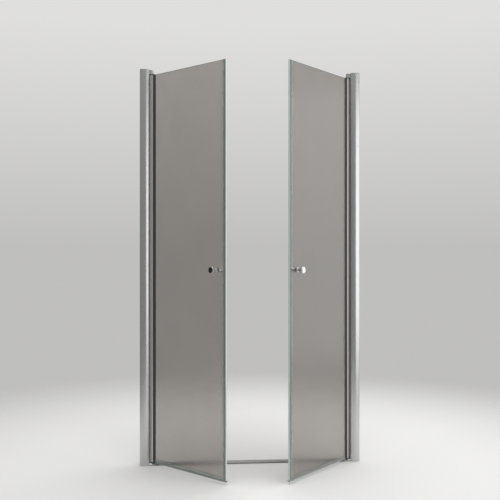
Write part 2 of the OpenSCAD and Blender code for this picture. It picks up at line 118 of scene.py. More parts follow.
# Slot for the jamb's seal, in a boss at the jamb's inner edge
SLOT_MOUTH = 1.5 * MM
SLOT_MOUTH_HALF = 1 * MM
SLOT_DEPTH = 3.1 * MM
SLOT_HALF = 2.1 * MM
BOSS_W = SLOT_DEPTH + WEB_T
BOSS_HALF = SLOT_HALF + WEB_T

CAP_PLUG_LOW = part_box("left_jamb_cap")[0].z
CAP_PLUG_HALF = micron(CHANNEL_HALF - CHANNEL_T - FIT)
CAP_EASE = 0.9 * MM

# Pivot blocks: their plugs stand between the jamb's web and its boss
PIN_R = 4 * MM
PIN_FLOOR = 2 * MM
PLUG_S0 = WEB_S + WEB_T + FIT
PLUG_S1 = micron(JAMB_W - BOSS_W - FIT)
PLUG_HALF = 12 * MM
PLUG_H = 32 * MM
TOP_ARM_H = 18.5 * MM
TOP_BLOCK_EASE = 0.6 * MM
BOTTOM_ARM_H = 10 * MM
BOTTOM_NECK_HALF = 10 * MM
BOTTOM_BLOCK_EASE = 0.4 * MM

# Threshold: a low dome on upright sides
RAIL_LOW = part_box("threshold_rail")[0].z
RAIL_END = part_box("threshold_rail")[1].x
RAIL_TOP = 11 * MM
RAIL_RISE = 8 * MM
RAIL_HALF = 13 * MM
RAIL_R = arc_radius(RAIL_HALF, RAIL_RISE)
RAIL_CENTRE = RAIL_TOP - RAIL_R
RAIL_T = 1.6 * MM
RAIL_EASE = 0.3 * MM
BRIDGE_S = micron(HALF_WIDTH - RAIL_END)

# Screws in the jamb's back, each in a flat seat and under a domed cap
SCREW_HEAD_R = 3.75 * MM
SCREW_HEAD_H = 2.2 * MM
SCREW_CAP_R = 5.3 * MM
SCREW_CAP_T = 1 * MM
SCREW_CAP_GAP = 0.2 * MM
SCREW_CAP_FOOT = 0.3 * MM
CROWN_START = math.radians(20)
SEAT_DEPTH = 0.7 * MM
SEAT_R = SCREW_CAP_R + SCREW_CAP_GAP
JAMB_SCREW_S = 13 * MM
JAMB_SCREW_END = 150 * MM
BLOCK_SCREW_INSET = 8 * MM
BLOCK_SCREW_END = PLUG_H - BLOCK_SCREW_INSET

# Post and glass: the gasket lines the post's slot, and the glass stands on its floor. A pane
# is thinner by a skin on each face, so that it shares no face with what grips it
GLASS_HALF = 3 * MM
GLASS_LOW, GLASS_HIGH = (corner.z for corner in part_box("left_glass"))
GLASS_SKIN = 0.02 * MM
GROUND_EDGE = 0.8 * MM
GASKET_T = 1.5 * MM
POST_LOW, POST_HIGH = (corner.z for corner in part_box("left_post"))
POST_R = 8.5 * MM
POST_T = 2 * MM
POST_FRONT = 19.5 * MM
POST_LIP_T = 2 * MM
POST_EASE = 0.3 * MM
BORE_R = POST_R - POST_T
GLAZING_FLOOR = 9 * MM
GLAZING_HALF = GLASS_HALF + GASKET_T
POST_FRONT_HALF = GLAZING_HALF + POST_LIP_T

# Gasket: its lips taper along the glass, and its hooks hold on to the post's flanks
GASKET_LIP = 8.5 * MM
GASKET_LIP_T = 2 * MM
GASKET_ROOT = GLASS_HALF + GASKET_LIP_T
GASKET_END = POST_FRONT + GASKET_LIP
GASKET_TIP = 0.3 * MM
GASKET_HOOK_U = 17.3 * MM
GASKET_HOOK_T = 0.5 * MM
GASKET_EASE = 0.12 * MM

# Bushes in both ends of a post, which turn on the pins
BUSH_PLATE = 3.7 * MM
BUSH_LEN = 24 * MM
BUSH_GAP = 0.05 * MM
BUSH_EASE = 0.5 * MM

# Seals on the free edge and under the glass, which grip it with thin legs
MEET_GAP = 0.4 * MM
EDGE_REACH = 12 * MM
SEAL_U1 = LEAF_REACH - MEET_GAP
GLASS_U0 = GLAZING_FLOOR + GASKET_T
GLASS_U1 = SEAL_U1 - EDGE_REACH
CLIP_LEN = 12 * MM
CLIP_T = 1.2 * MM
CLIP_HALF = GLASS_HALF + CLIP_T
CLIP_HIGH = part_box("left_bottom_seal")[1].z
MAGNET_SKIN = 1.8 * MM
CHAMBER_HALF = 2.95 * MM
CHAMBER_U1 = SEAL_U1 - MAGNET_SKIN
CHAMBER_U0 = CHAMBER_U1 - 2 * CHAMBER_HALF
SEAL_CORNER = 1.2 * MM
EDGE_SEAL_EASE = 0.2 * MM
CLOSING_TURN = math.cos(math.radians(60))

# Drip seal: a tube that just clears the rail, and a fin that slopes inwards
SWEEP_GAP = 0.6 * MM
WEB_LOW = micron(GLASS_LOW - CLIP_T)
TUBE_LOW = RAIL_TOP + SWEEP_GAP
TUBE_R = (WEB_LOW + CLIP_T / 2 - TUBE_LOW) / 2
TUBE_Z = TUBE_LOW + TUBE_R
TUBE_T = 1 * MM
FIN_W = 7 * MM
FIN_DROP = 5 * MM
FIN_REACH = CLIP_HALF + FIN_W
FIN_Z = WEB_LOW - FIN_DROP
DRIP_SEAL_EASE = 0.15 * MM

# Knob: a tapered head on a narrow neck, with a wide foot on the washer. Its taper and the
# turn of its rim are in degrees
KNOB_INSET = 56 * MM
KNOB_U = LEAF_REACH - KNOB_INSET
KNOB_Z = 895 * MM
KNOB_HOLE_R = 6 * MM
WASHER_T = 1 * MM
KNOB_LEN = 32 * MM
KNOB_R = 14.5 * MM
KNOB_BEVEL = 0.8 * MM
FOOT_R = 10.5 * MM
FOOT_H = 3 * MM
FOOT_EASE = 0.2 * MM
NECK_R = 7 * MM
NECK_FILLET = 0.6 * MM
HEAD_BACK_R = 9.5 * MM
HEAD_BACK_Z = 8 * MM
HEAD_TAPER = 15
RIM_Z = 27 * MM
RIM_R = 1.5 * MM
RIM_END = 84
FACE_R = 12.6 * MM
FACE_RISE = 0.6 * MM


def leaf_open(side):
    """The angle by which a leaf stands open, from its magnet's place beside the pivot."""
    low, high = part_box(f"{side}_edge_magnet")
    reach = (low + high) / 2 - PIVOT[side]
    return math.atan2(abs(reach.y), abs(reach.x))


LEAF_OPEN = {side: leaf_open(side) for side in SIDES}

# ---- drawing and shaping ----


def only(piece):
    """Selects this piece and nothing else."""
    bpy.ops.object.select_all(action="DESELECT")
    piece.select_set(True)
    bpy.context.view_layer.objects.active = piece


@contextmanager
def editing(piece):
    """Edit mode on one piece."""
    only(piece)
    bpy.ops.object.mode_set(mode="EDIT")
    yield bmesh.from_edit_mesh(piece.data)
    bpy.ops.object.mode_set(mode="OBJECT")


def started(name):
    """The primitive or copy just made, under its own name."""
    piece = bpy.context.object
    piece.name = name
    piece.data.name = name
    return piece


def choose(mesh, parts, test):
    """Selects the edges or faces that pass the test."""
    bpy.ops.mesh.select_all(action="DESELECT")
    for part in filter(test, parts):
        part.select_set(True)
    mesh.select_flush_mode()


def spots(count, start, end):
    """Evenly spaced values from start to end, both counted."""
    return [start + (end - start) * i / (count - 1) for i in range(count)]


def arc(centre, radius, start, end, count=24):
    """Points on an arc round a centre, from one angle to another in degrees."""
    return [
        (centre[0] + radius * math.cos(math.radians(a)),
         centre[1] + radius * math.sin(math.radians(a)))
        for a in spots(count, start, end)
    ]


def flat(x, y):
    """A point of a plan."""
    return Vector((x, y, 0))


def crosswise(y, z):
    """A point of a section that runs along X."""
    return Vector((0, y, z))


def beside_axis(r, z):
    """A point of a turned piece's outline."""
    return Vector((r, 0, z))


def trace(name, loops, plane, closed=True):
    """Draws outlines by pulling one corner after another out of a single point."""
    bpy.ops.object.select_all(action="DESELECT")
    bpy.ops.mesh.primitive_plane_add(size=MM)
    piece = started(name)
    with editing(piece):
        bpy.ops.mesh.select_all(action="SELECT")
        bpy.ops.mesh.delete(type="VERT")
        for loop in loops:
            bpy.ops.mesh.primitive_plane_add(size=MM, location=plane(*loop[0]))
            bpy.ops.mesh.merge(type="CENTER")
            path = [plane(*point) for point in loop]
            if closed:
                path.append(path[0])
            for here, there in zip(path, path[1:]):
                bpy.ops.mesh.extrude_region_move(
                    TRANSFORM_OT_translate={"value": there - here})
        bpy.ops.mesh.select_all(action="SELECT")
        bpy.ops.mesh.remove_doubles(threshold=WELD)
    return piece


def extruded(name, loops, plane, start, end):
    """A bar with this section, from one point to another."""
    piece = trace(name, loops, plane)
    with editing(piece):
        bpy.ops.mesh.select_all(action="SELECT")
        bpy.ops.transform.translate(value=start)
        bpy.ops.mesh.fill(use_beauty=False)
        bpy.ops.mesh.dissolve_limited(angle_limit=math.radians(1))
        bpy.ops.mesh.select_all(action="SELECT")
        bpy.ops.mesh.extrude_region_move(
            TRANSFORM_OT_translate={"value": Vector(end) - Vector(start)})
        bpy.ops.mesh.select_all(action="SELECT")
        bpy.ops.mesh.normals_make_consistent(inside=False)
    return piece


def upright(name, loops, low, high):
    """A bar that stands on its section."""
    return extruded(name, loops, flat, (0, 0, low), (0, 0, high))


def along(name, loops, start, end):
    """A bar that lies along X."""
    return extruded(name, loops, crosswise, (start, 0, 0), (end, 0, 0))


def turned(name, outline, sides):
    """A piece turned round the Z axis from its outline, which starts and ends on the axis."""
    piece = trace(name, [outline], beside_axis, closed=False)
    with editing(piece):
        bpy.ops.mesh.select_all(action="SELECT")
        bpy.ops.mesh.spin(steps=sides, angle=math.tau, center=(0, 0, 0), axis=(0, 0, 1))
        bpy.ops.mesh.select_all(action="SELECT")
        bpy.ops.mesh.remove_doubles(threshold=WELD)
        bpy.ops.mesh.normals_make_consistent(inside=False)
    return piece


def block(name, low, high):
    """A box between two corners."""
    low, high = Vector(low), Vector(high)
    bpy.ops.object.select_all(action="DESELECT")
    bpy.ops.mesh.primitive_cube_add(size=1, location=(low + high) / 2, scale=high - low)
    piece = started(name)
    bpy.ops.object.transform_apply(location=True, rotation=False, scale=True)
    return piece


def rod(name, radius, base, length):
    """A round bar that stands on a point."""
    bpy.ops.object.select_all(action="DESELECT")
    middle = Vector(base) + Vector((0, 0, length / 2))
    bpy.ops.mesh.primitive_cylinder_add(
        vertices=64, radius=radius, depth=length, location=middle)
    piece = started(name)
    bpy.ops.object.transform_apply(location=True, rotation=False, scale=False)
    return piece


def modified(piece, kind, **settings):
    """Adds a modifier, sets it and applies it."""
    only(piece)
    modifier = piece.modifiers.new(kind.lower(), kind)
    for key, value in settings.items():
        setattr(modifier, key, value)
    bpy.ops.object.modifier_apply(modifier=modifier.name)
    return piece


def worked(piece, tool, operation):
    """Cuts a tool's shape out of a piece, or joins it on, and puts the tool away."""
    modified(piece, "BOOLEAN", object=tool, operation=operation, solver="EXACT")
    bpy.data.objects.remove(tool)
    return piece


def cut(piece, tool):
    return worked(piece, tool, "DIFFERENCE")


def joined(piece, tool):
    return worked(piece, tool, "UNION")


def softened(piece, ease, segments=3):
    """Rounds every sharp edge a little, as extruding, casting and tumbling leave it."""
    return modified(
        piece, "BEVEL", width=ease, segments=segments, limit_method="ANGLE",
        angle_limit=math.radians(30), use_clamp_overlap=True)


def parted(piece, point, normal):
    """Draws an edge round a piece where a plane meets it, for a change of finish."""
    with editing(piece):
        bpy.ops.mesh.select_all(action="SELECT")
        bpy.ops.mesh.bisect(plane_co=point, plane_no=normal)
    return piece


def twin(piece, name):
    """A copy of a piece with its own mesh."""
    only(piece)
    bpy.ops.object.duplicate(linked=False)
    return started(name)


def settled(piece, matrix):
    """Moves a piece to its place and keeps the place in its mesh."""
    only(piece)
    piece.matrix_world = matrix
    bpy.ops.object.transform_apply(location=True, rotation=True, scale=True)
    if matrix.determinant() < 0:
        with editing(piece):
            bpy.ops.mesh.select_all(action="SELECT")
            bpy.ops.mesh.normals_make_consistent(inside=False)
    return piece


def on_side(side):
    """From a drawing that starts at the left end of the door to its place on either side."""
    at_end = Matrix.Translation((-HALF_WIDTH, 0, 0))
    if side == "left":
        return at_end
    return Matrix.Scale(-1, 4, (1, 0, 0)) @ at_end


def on_leaf(side):
    """From a drawing that starts at the pivot of a closed leaf to the open leaf."""
    at_pivot = Matrix.Translation((PIVOT_S, 0, 0))
    return on_side(side) @ at_pivot @ Matrix.Rotation(-LEAF_OPEN[side], 4, "Z")


def on_back(angle, z):
    """From a small turned piece to its flat seat on the jamb's back."""
    at_arc = Matrix.Translation((JAMB_W / 2, -JAMB_SHIFT, z))
    turn = Matrix.Rotation(-angle, 4, "Z")
    seat = Matrix.Translation((0, JAMB_R - SEAT_DEPTH, 0))
    return at_arc @ turn @ seat @ Matrix.Rotation(math.radians(-90), 4, "X")


def on_glass(facing):
    """From a turned knob to the glass: facing is -1 for the outer face and 1 for the inner."""
    at_hole = Matrix.Translation((KNOB_U, facing * GLASS_HALF, KNOB_Z))
    return at_hole @ Matrix.Rotation(math.radians(-90 * facing), 4, "X")


def smoothed(piece):
    """Smooth curves with flat faces left flat."""
    only(piece)
    bpy.ops.object.shade_smooth_by_angle(angle=math.radians(35))
    return modified(piece, "WEIGHTED_NORMAL", keep_sharp=True, weight=50)


def fitted(piece, body, node, finishes):
    """Gives a placed piece its finishes and its place in the frame."""
    for finish in finishes:
        piece.data.materials.append(finish)
    smoothed(piece)
    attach(piece, body)
    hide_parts(node)
    return piece


# ---- sections ----


def bulge(inset, s0, s1, facing, count=24):
    """Points of one of the jamb's two arcs, drawn in by inset, from s0 to s1."""
    radius = JAMB_R - inset
    start = math.asin((s0 - JAMB_W / 2) / radius)
    end = math.asin((s1 - JAMB_W / 2) / radius)
    return [
        (JAMB_W / 2 + radius * math.sin(a), facing * (radius * math.cos(a) - JAMB_SHIFT))
        for a in spots(count, start, end)
    ]


def lens():
    """The jamb's full outline."""
    return bulge(0, 0, JAMB_W, -1, count=32) + bulge(0, JAMB_W, 0, 1, count=32)


def channel_side(facing):
    """One side of the jamb's inside round its channel, with two ribs, from web to open side."""
    low_rib, high_rib = RIB_S
    stops = [WEB_S, high_rib + WEB_T, high_rib, low_rib + WEB_T, low_rib, 0]
    points = []
    for start, end in zip(stops[::2], stops[1::2]):
        points += bulge(JAMB_T, start, end, facing, count=6)
        if end > 0:
            points += [(end, facing * MOUTH_HALF), (end - WEB_T, facing * MOUTH_HALF)]
    return points


def jamb_loops():
    """The jamb's section: its outline, open at the channel's end, and its closed hollow."""
    mouth = JAMB_W - SLOT_MOUTH
    floor = JAMB_W - SLOT_DEPTH
    slot = [
        (JAMB_W, -SLOT_MOUTH_HALF), (mouth, -SLOT_MOUTH_HALF), (mouth, -SLOT_HALF),
        (floor, -SLOT_HALF), (floor, SLOT_HALF),
        (mouth, SLOT_HALF), (mouth, SLOT_MOUTH_HALF), (JAMB_W, SLOT_MOUTH_HALF),
    ]
    outside = bulge(0, 0, JAMB_W, -1) + slot + bulge(0, JAMB_W, 0, 1)
    inside = channel_side(1)[::-1] + channel_side(-1)
    shell = JAMB_W - JAMB_T
    back = JAMB_W - BOSS_W
    boss = [(shell, -BOSS_HALF), (back, -BOSS_HALF), (back, BOSS_HALF), (shell, BOSS_HALF)]
    hollow = (
        bulge(JAMB_T, WEB_S + WEB_T, shell, -1, count=10) + boss
        + bulge(JAMB_T, shell, WEB_S + WEB_T, 1, count=10)
    )
    return [outside + inside, hollow]


def post_outline():
    """The post's round back and its two flanks, which touch the round."""
    reach = math.hypot(POST_FRONT, POST_FRONT_HALF)
    touch = math.degrees(
        math.atan2(POST_FRONT_HALF, POST_FRONT) + math.acos(POST_R / reach))
    back = arc((0, 0), POST_R, touch, 360 - touch, count=40)
    return back + [(POST_FRONT, -POST_FRONT_HALF)], [(POST_FRONT, POST_FRONT_HALF)]


def flank_half(u):
    """Half the post's width at this distance from the pivot, along its straight flank."""
    back, front = post_outline()
    (u0, half0), (u1, half1) = back[0], front[0]
    return half0 + (half1 - half0) * (u - u0) / (u1 - u0)


def circle(centre, radius):
    """A closed circle of 48 points."""
    return arc(centre, radius, 0, 360, count=49)[:-1]


def dome(inset, half, top=math.inf):
    """The threshold's domed top, from one side to the other, no higher than top."""
    radius = RAIL_R - inset
    level = math.degrees(math.asin(min(1, (top - RAIL_CENTRE) / radius)))
    side = math.degrees(math.acos(half / radius))
    right = arc((0, RAIL_CENTRE), radius, side, level)
    return [(-y, z) for y, z in right] + right[::-1]


# ---- pieces of the fixed frame ----


def aim(s, half):
    """The angle, to 0.01 degree, of a screw on the jamb's arc that enters its target there."""
    angle = math.degrees(math.atan2(s - JAMB_W / 2, half + JAMB_SHIFT))
    return math.radians(round(angle, 2))


def jamb_screws():
    """Angle round the jamb's arc and height of the screws of the channel and of both blocks."""
    at_channel = aim(JAMB_SCREW_S, CHANNEL_HALF)
    at_block = aim((PLUG_S0 + PLUG_S1) / 2, PLUG_HALF)
    heights = spots(3, JAMB_SCREW_END, micron(DOOR_TOP) - JAMB_SCREW_END)
    block_heights = [BLOCK_SCREW_END, micron(JAMB_TOP) - BLOCK_SCREW_END]
    return [(at_channel, z) for z in heights] + [(at_block, z) for z in block_heights]


def make_jamb():
    """The profile, with flat seats for its screws and notches for the arms of the blocks."""
    piece = upright("jamb", jamb_loops(), 0, JAMB_TOP)
    for angle, z in jamb_screws():
        cut(piece, settled(rod("seat", SEAT_R, (0, 0, 0), 2 * SCREW_CAP_R), on_back(angle, z)))
    far = 2 * JAMB_W
    cut(piece, block(
        "top_notch", (PLUG_S1, -POST_R - FIT, JAMB_TOP - TOP_ARM_H - FIT),
        (far, POST_R + FIT, DOOR_TOP)))
    cut(piece, block(
        "bottom_notch", (PLUG_S1, -BOTTOM_NECK_HALF - FIT, -OVERLAP),
        (far, BOTTOM_NECK_HALF + FIT, BOTTOM_ARM_H + FIT)))
    return softened(piece, JAMB_EASE, segments=2)


def make_cap():
    """A lens-shaped cap with a rounded top edge, on a plug between the channel's legs."""
    piece = upright("cap", [lens()], JAMB_TOP, DOOR_TOP)
    with editing(piece) as mesh:
        choose(mesh, mesh.faces, lambda face: face.normal.z > FACING)
        bpy.ops.mesh.bevel(offset=CAP_EASE, segments=4, affect="EDGES")
    return joined(piece, block(
        "plug", (CHANNEL_T + FIT, -CAP_PLUG_HALF, CAP_PLUG_LOW),
        (CHANNEL_LEG, CAP_PLUG_HALF, JAMB_TOP + OVERLAP)))


def make_top_block():
    """A plug in the jamb, with a round-nosed arm that holds the top pin from above."""
    nose = arc((PIVOT_S, 0), POST_R, -90, 90, count=32)
    arm = [(PLUG_S0, -POST_R)] + nose + [(PLUG_S0, POST_R)]
    piece = upright("top_block", [arm], JAMB_TOP - TOP_ARM_H, JAMB_TOP)
    plug_low = JAMB_TOP - PLUG_H
    joined(piece, block("plug", (PLUG_S0, -PLUG_HALF, plug_low), (PLUG_S1, PLUG_HALF, JAMB_TOP)))
    cut(piece, rod("bore", PIN_R, (PIVOT_S, 0, plug_low), PLUG_H - PIN_FLOOR))
    return softened(piece, TOP_BLOCK_EASE)


def make_bottom_block():
    """A plug in the jamb, with a neck and a bridge in the rail's shape, bored for the pin."""
    bridge = [(-RAIL_HALF, 0)] + dome(0, RAIL_HALF, BOTTOM_ARM_H) + [(RAIL_HALF, 0)]
    piece = along("bottom_block", [bridge], JAMB_W, BRIDGE_S)
    joined(piece, block(
        "neck", (PLUG_S0, -BOTTOM_NECK_HALF, 0),
        (JAMB_W + OVERLAP, BOTTOM_NECK_HALF, BOTTOM_ARM_H)))
    joined(piece, block("plug", (PLUG_S0, -PLUG_HALF, 0), (PLUG_S1, PLUG_HALF, PLUG_H)))
    softened(piece, BOTTOM_BLOCK_EASE)
    return cut(piece, rod("bore", PIN_R, (PIVOT_S, 0, PIN_FLOOR), BOTTOM_ARM_H))


def make_screw_cap():
    """A domed cap whose pocket fits over a screw's head."""
    pocket_r = SCREW_HEAD_R + SCREW_CAP_GAP
    pocket_h = SCREW_HEAD_H + SCREW_CAP_GAP
    foot_r = SCREW_CAP_R - SCREW_CAP_FOOT
    outline = [
        (0, pocket_h), (pocket_r, pocket_h), (pocket_r, 0),
        (foot_r, 0), (SCREW_CAP_R, SCREW_CAP_FOOT), (SCREW_CAP_R, pocket_h),
    ]
    crown = [
        (SCREW_CAP_R * math.cos(a), pocket_h + SCREW_CAP_T * math.sin(a))
        for a in spots(10, CROWN_START, math.radians(90))
    ]
    return turned("screw_cap", outline + crown, sides=48)


def make_screw_caps():
    """The five caps in the back of a jamb, as one piece."""
    master = make_screw_cap()
    caps = [settled(twin(master, "screw_cap"), on_back(angle, z)) for angle, z in jamb_screws()]
    bpy.data.objects.remove(master)
    bpy.ops.object.select_all(action="DESELECT")
    for cap in caps:
        cap.select_set(True)
    bpy.context.view_layer.objects.active = caps[0]
    bpy.ops.object.join()
    return started("screw_caps")


def make_rail():
    """A low dome on upright sides, open underneath."""
    half = RAIL_HALF - RAIL_T
    outside = [(-RAIL_HALF, RAIL_LOW)] + dome(0, RAIL_HALF) + [(RAIL_HALF, RAIL_LOW)]
    inside = [(half, RAIL_LOW)] + dome(RAIL_T, half)[::-1] + [(-half, RAIL_LOW)]
    piece = along("domed_rail", [outside + inside], -RAIL_END, RAIL_END)
    return softened(piece, RAIL_EASE, segments=2)


# ---- pieces of the leaves ----


def make_post():
    """The profile that turns on the pins, with a slot for the glass in its gasket."""
    back, front = post_outline()
    slot = [
        (POST_FRONT, -GLAZING_HALF), (GLAZING_FLOOR, -GLAZING_HALF),
        (GLAZING_FLOOR, GLAZING_HALF), (POST_FRONT, GLAZING_HALF),
    ]
    bore = circle((0, 0), BORE_R)
    piece = upright("post", [back + slot + front, bore], POST_LOW, POST_HIGH)
    return softened(piece, POST_EASE, segments=2)


def make_bush(plate_low, sleeve_low):
    """A plate over the post's end, on a sleeve that turns on the pin."""
    back, front = post_outline()
    piece = upright("bush", [back + front], plate_low, plate_low + BUSH_PLATE)
    softened(piece, BUSH_EASE)
    joined(piece, rod("sleeve", BORE_R - BUSH_GAP, (0, 0, sleeve_low), BUSH_LEN + OVERLAP))
    return cut(piece, rod("bore", PIN_R + BUSH_GAP, (0, 0, 0), 2 * DOOR_TOP))


def make_gasket():
    """The rubber round the glass edge, with lips on the glass and hooks over the post."""
    hook_half = flank_half(GASKET_HOOK_U)
    side = [
        (GLAZING_FLOOR, GLAZING_HALF), (POST_FRONT, GLAZING_HALF), (POST_FRONT, POST_FRONT_HALF),
        (GASKET_HOOK_U, hook_half), (GASKET_HOOK_U + GASKET_HOOK_T, hook_half + GASKET_HOOK_T),
        (POST_FRONT + GASKET_HOOK_T, POST_FRONT_HALF + GASKET_HOOK_T),
        (POST_FRONT + 2 * GASKET_HOOK_T, GASKET_ROOT),
        (GASKET_END, GLASS_HALF + GASKET_TIP), (GASKET_END, GLASS_HALF), (GLASS_U0, GLASS_HALF),
    ]
    outline = side + [(u, -half) for u, half in reversed(side)]
    return softened(upright("gasket", [outline], POST_LOW, POST_HIGH), GASKET_EASE, segments=2)


def make_pane():
    """A pane with all its edges ground off and one hole for the knobs' stud."""
    half = GLASS_HALF - GLASS_SKIN
    piece = block("pane", (GLASS_U0, -half, GLASS_LOW), (GLASS_U1, half, GLASS_HIGH))
    with editing(piece) as mesh:
        choose(mesh, mesh.edges, lambda edge: edge.calc_face_angle() > math.radians(60))
        bpy.ops.mesh.bevel(offset=GROUND_EDGE, segments=1, affect="EDGES")
    drill = rod("drill", KNOB_HOLE_R, (0, 0, -CLIP_LEN), 2 * CLIP_LEN)
    across = Matrix.Rotation(math.radians(90), 4, "X")
    return cut(piece, settled(drill, Matrix.Translation((KNOB_U, 0, KNOB_Z)) @ across))


def make_edge_seal():
    """Legs on the glass, with a square chamber for the magnet behind a rounded face."""
    clip = GLASS_U1 - CLIP_LEN
    corner = SEAL_U1 - SEAL_CORNER
    side = CLIP_HALF - SEAL_CORNER
    outline = (
        [(GLASS_U1, -GLASS_HALF), (clip, -GLASS_HALF), (clip, -CLIP_HALF)]
        + arc((corner, -side), SEAL_CORNER, -90, 0, count=6)
        + arc((corner, side), SEAL_CORNER, 0, 90, count=6)
        + [(clip, CLIP_HALF), (clip, GLASS_HALF), (GLASS_U1, GLASS_HALF)]
    )
    chamber = [
        (CHAMBER_U0, -CHAMBER_HALF), (CHAMBER_U1, -CHAMBER_HALF),
        (CHAMBER_U1, CHAMBER_HALF), (CHAMBER_U0, CHAMBER_HALF),
    ]
    piece = upright("edge_seal", [outline, chamber], GLASS_LOW, GLASS_HIGH)
    return parted(softened(piece, EDGE_SEAL_EASE, segments=2), (GLASS_U1, 0, 0), (1, 0, 0))


def make_drip_seal():
    """Legs on the glass, with a sloping fin and a round tube under it."""
    clip = [
        (-CLIP_HALF, WEB_LOW), (CLIP_HALF, WEB_LOW), (CLIP_HALF, CLIP_HIGH),
        (GLASS_HALF, CLIP_HIGH), (GLASS_HALF, GLASS_LOW), (-GLASS_HALF, GLASS_LOW),
        (-GLASS_HALF, CLIP_HIGH), (-CLIP_HALF, CLIP_HIGH),
    ]
    piece = along("drip_seal", [clip], GASKET_END, GLASS_U1 - CLIP_LEN)
    fin = [
        (-CLIP_HALF, WEB_LOW), (CLIP_HALF, WEB_LOW), (FIN_REACH, FIN_Z),
        (FIN_REACH, FIN_Z + TUBE_T), (CLIP_HALF, GLASS_LOW), (-CLIP_HALF, GLASS_LOW),
    ]
    joined(piece, along("fin", [fin], GASKET_END, SEAL_U1))
    tube = [circle((0, TUBE_Z), TUBE_R), circle((0, TUBE_Z), TUBE_R - TUBE_T)]
    joined(piece, along("tube", tube, GASKET_END, SEAL_U1))
    return parted(softened(piece, DRIP_SEAL_EASE, segments=2), (0, 0, GLASS_LOW), (0, 0, 1))


def make_knob():
    """A tapered knob on a narrow neck, with a wide foot and a slightly domed face."""
    rim_centre_r = KNOB_R - RIM_R
    edge_z = FOOT_H - KNOB_BEVEL
    face_edge_z = KNOB_LEN - FACE_RISE
    outline = (
        [(0, 0), (FOOT_R - FOOT_EASE, 0), (FOOT_R, FOOT_EASE), (FOOT_R, edge_z)]
        + arc((FOOT_R - KNOB_BEVEL, edge_z), KNOB_BEVEL, 0, 90, count=6)
        + arc((NECK_R + KNOB_BEVEL, FOOT_H + KNOB_BEVEL), KNOB_BEVEL, 270, 180, count=6)
        + arc((NECK_R + NECK_FILLET, HEAD_BACK_Z - NECK_FILLET), NECK_FILLET, 180, 90, count=5)
        + arc((HEAD_BACK_R - KNOB_BEVEL, HEAD_BACK_Z + KNOB_BEVEL), KNOB_BEVEL,
              -90, -HEAD_TAPER, count=6)
        + arc((rim_centre_r, RIM_Z), RIM_R, -HEAD_TAPER, 0, count=4)
        + arc((rim_centre_r, face_edge_z - RIM_R), RIM_R, 0, RIM_END, count=10)
        + [(r, KNOB_LEN - FACE_RISE * (r / rim_centre_r) ** 2) for r in spots(8, FACE_R, 0)]
    )
    return turned("knob", [(r, z + WASHER_T) for r, z in outline], sides=96)


# ---- finishes ----


class Wire:
    """A socket's value. A sum on wires adds its Math nodes."""

    def __init__(self, board, socket):
        self.board = board
        self.socket = socket

    def calc(self, operation, *values):
        return self.board.node("ShaderNodeMath", {"operation": operation}, dict(enumerate(values)))

    def __add__(self, other):
        return self.calc("ADD", self, other)

    def __radd__(self, other):
        return self.calc("ADD", other, self)

    def __sub__(self, other):
        return self.calc("SUBTRACT", self, other)

    def __rsub__(self, other):
        return self.calc("SUBTRACT", other, self)

    def __mul__(self, other):
        return self.calc("MULTIPLY", self, other)

    def __rmul__(self, other):
        return self.calc("MULTIPLY", other, self)

    def __pow__(self, other):
        return self.calc("POWER", self, other)


class Board:
    """The nodes of one finish, or of the studio round the door."""

    def __init__(self, owner):
        self.owner = owner
        owner.use_nodes = True
        self.tree = owner.node_tree
        self.tree.nodes.clear()

    def node(self, kind, settings=None, inputs=None, output=0):
        """Adds a node: its settings first, then the values or wires of its sockets."""
        made = self.tree.nodes.new(kind)
        for key, value in (settings or {}).items():
            setattr(made, key, value)
        for key, value in (inputs or {}).items():
            if isinstance(value, Wire):
                self.tree.links.new(value.socket, made.inputs[key])
            else:
                made.inputs[key].default_value = value
        return Wire(self, made.outputs[output]) if made.outputs else None

    def noise(self, grain, turn=0, detail=3):
        """Noise from 0 to 1 whose spots have the size of grain along each axis, in metres."""
        place = self.node("ShaderNodeTexCoord", output="Object")
        sized = self.node(
            "ShaderNodeMapping", {"vector_type": "TEXTURE"},
            {"Vector": place, "Rotation": (0, 0, turn), "Scale": grain})
        return self.node(
            "ShaderNodeTexNoise",
            inputs={"Vector": sized, "Scale": 1, "Detail": detail, "Roughness": 0.55})

    def cells(self, size):
        """Distance from 0 to 1 to the middle of round cells of this size, in metres."""
        place = self.node("ShaderNodeTexCoord", output="Object")
        return self.node(
            "ShaderNodeTexVoronoi", inputs={"Vector": place, "Scale": 1 / size}, output="Distance")

    def graded(self, value, span, low, high, **settings):
        """A value that goes from low to high while another one crosses a span."""
        start, end = span
        return self.node("ShaderNodeMapRange", settings, {
            "Value": value, "From Min": start, "From Max": end, "To Min": low, "To Max": high})

    def between(self, factor, first, second):
        """A colour between two others: sockets 6 and 7 of a mix node, whose colour is output 2."""
        return self.node(
            "ShaderNodeMix", {"data_type": "RGBA", "clamp_factor": True},
            {0: factor, 6: (*first, 1), 7: (*second, 1)}, output=2)

    def bump(self, height, distance):
        return self.node(
            "ShaderNodeBump", inputs={"Height": height, "Distance": distance, "Strength": 1})

    def surface(self, **sockets):
        """The Principled surface; socket names are written with underscores."""
        named = {key.replace("_", " "): value for key, value in sockets.items()}
        shader = self.node("ShaderNodeBsdfPrincipled", inputs=named)
        self.node("ShaderNodeOutputMaterial", inputs={"Surface": shader})
        return self.owner


def board(name):
    return Board(bpy.data.materials.new(name))


def evenly(size):
    """A grain of one size along all three axes."""
    return (size, size, size)


